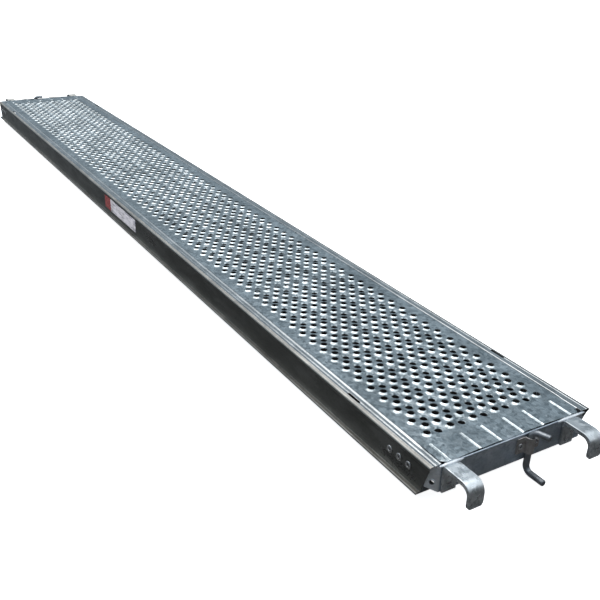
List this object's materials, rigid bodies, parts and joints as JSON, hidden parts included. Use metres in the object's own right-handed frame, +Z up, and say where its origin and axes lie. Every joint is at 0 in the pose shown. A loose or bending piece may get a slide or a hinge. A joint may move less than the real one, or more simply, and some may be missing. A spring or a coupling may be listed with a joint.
{
  "type": "scaffold plank",
  "caption": "Steel scaffold plank: perforated deck on two roll-formed side beams, with end caps, tube hooks and swivelling latch rods at both ends.",
  "frame": {"origin": "below the middle of the deck, on the surface that the plank stands on, level with the bottom of the latch rods' feet", "axes": "+Y along the plank towards the far end, +X to the right seen from the near end, +Z up out of the walking surface"},
  "size_m": [0.33, 2.63, 0.0789],
  "materials": {
    "galvanised_sheet": "hot-dip galvanised, blue-grey, semi-matt with a fine spangle",
    "galvanised_forging": "hot-dip galvanised over a formed bar, matt grey",
    "rivet_steel": "zinc plated",
    "label_film": "matt printed film, blank"
  },
  "bodies": {
    "plank": {"side_beam_left": "galvanised_sheet", "side_beam_right": "galvanised_sheet", "deck_sheet": "galvanised_sheet", "deck_stiffener_1": "galvanised_sheet", "deck_stiffener_2": "galvanised_sheet", "deck_stiffener_3": "galvanised_sheet", "end_cap_near": "galvanised_sheet", "end_cap_far": "galvanised_sheet", "hook_near_left": "galvanised_forging", "hook_near_right": "galvanised_forging", "hook_far_left": "galvanised_forging", "hook_far_right": "galvanised_forging", "latch_saddle_near": "galvanised_forging", "latch_saddle_far": "galvanised_forging", "saddle_rivet_near_left": "rivet_steel", "saddle_rivet_near_right": "rivet_steel", "saddle_rivet_far_left": "rivet_steel", "saddle_rivet_far_right": "rivet_steel", "web_rivet_near_left_1": "rivet_steel", "web_rivet_near_left_2": "rivet_steel", "web_rivet_near_left_3": "rivet_steel", "web_rivet_near_right_1": "rivet_steel", "web_rivet_near_right_2": "rivet_steel", "web_rivet_near_right_3": "rivet_steel", "web_rivet_far_left_1": "rivet_steel", "web_rivet_far_left_2": "rivet_steel", "web_rivet_far_left_3": "rivet_steel", "web_rivet_far_right_1": "rivet_steel", "web_rivet_far_right_2": "rivet_steel", "web_rivet_far_right_3": "rivet_steel", "side_label": "label_film"},
    "latch_near": {"latch_rod_near": "galvanised_forging"},
    "latch_far": {"latch_rod_far": "galvanised_forging"}
  },
  "joints": [
    {"name": "near_latch_turn", "type": "hinge", "parent": "plank", "child": "latch_near", "pos_m": [0.025, -1.2632, 0.03], "axis": [0, 0, 1], "range_deg": [-110, 70]},
    {"name": "far_latch_turn", "type": "hinge", "parent": "plank", "child": "latch_far", "pos_m": [-0.025, 1.2632, 0.03], "axis": [0, 0, 1], "range_deg": [0, 180]}
  ]
}
